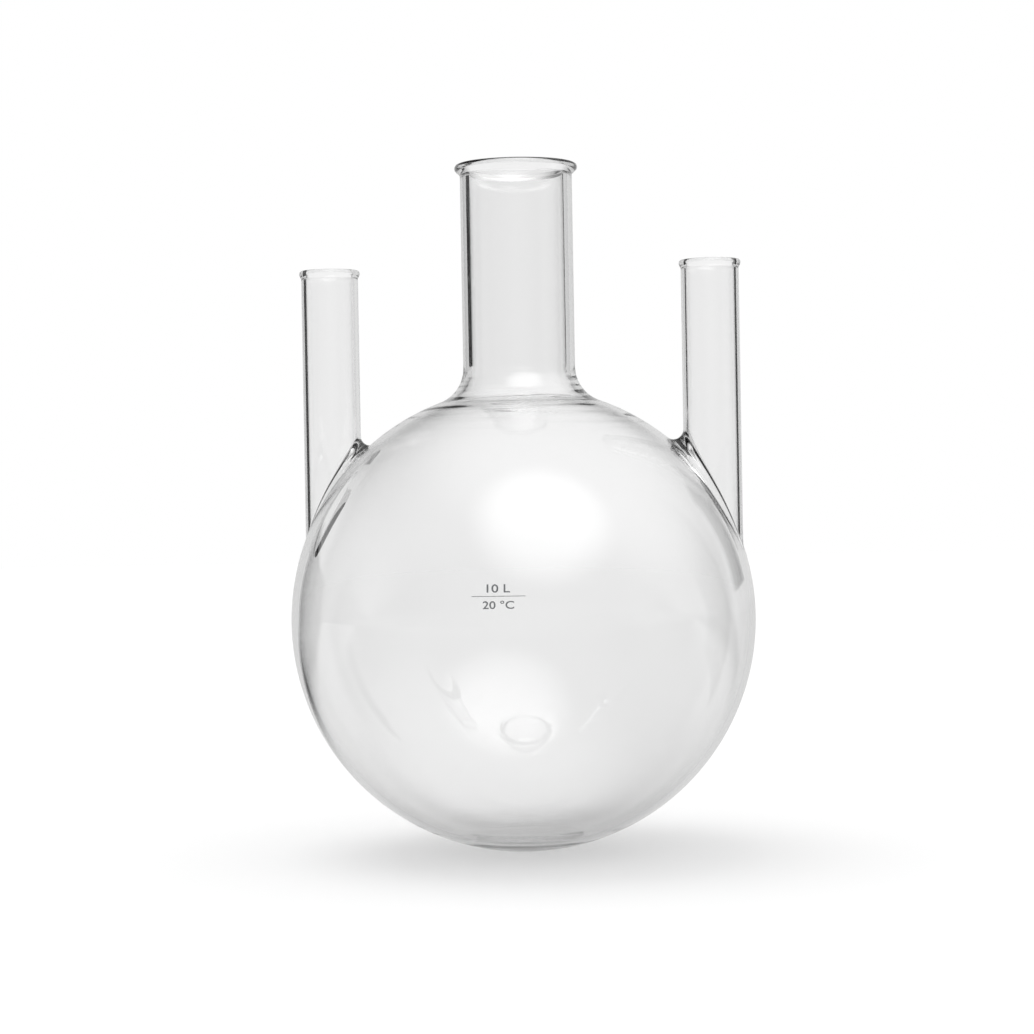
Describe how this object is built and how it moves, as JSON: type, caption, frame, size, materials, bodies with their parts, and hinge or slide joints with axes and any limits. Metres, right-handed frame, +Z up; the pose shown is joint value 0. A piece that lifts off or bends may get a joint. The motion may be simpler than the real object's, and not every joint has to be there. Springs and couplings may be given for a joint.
{
  "type": "three neck flask",
  "caption": "Round-bottom borosilicate glass flask with a wide lipped middle neck and narrower upright side necks, all open into the bulb, for stirred heating and distilling.",
  "frame": {"origin": "the bulb's lowest point, on the middle neck's axis", "axes": "+Z up the middle neck, +X through one side neck's axis and -X through the other's"},
  "size_m": [0.2799, 0.28, 0.4145],
  "materials": {
    "flask": "clear, fire-polished"
  },
  "bodies": {
    "root": {"flask": "flask"}
  },
  "joints": []
}
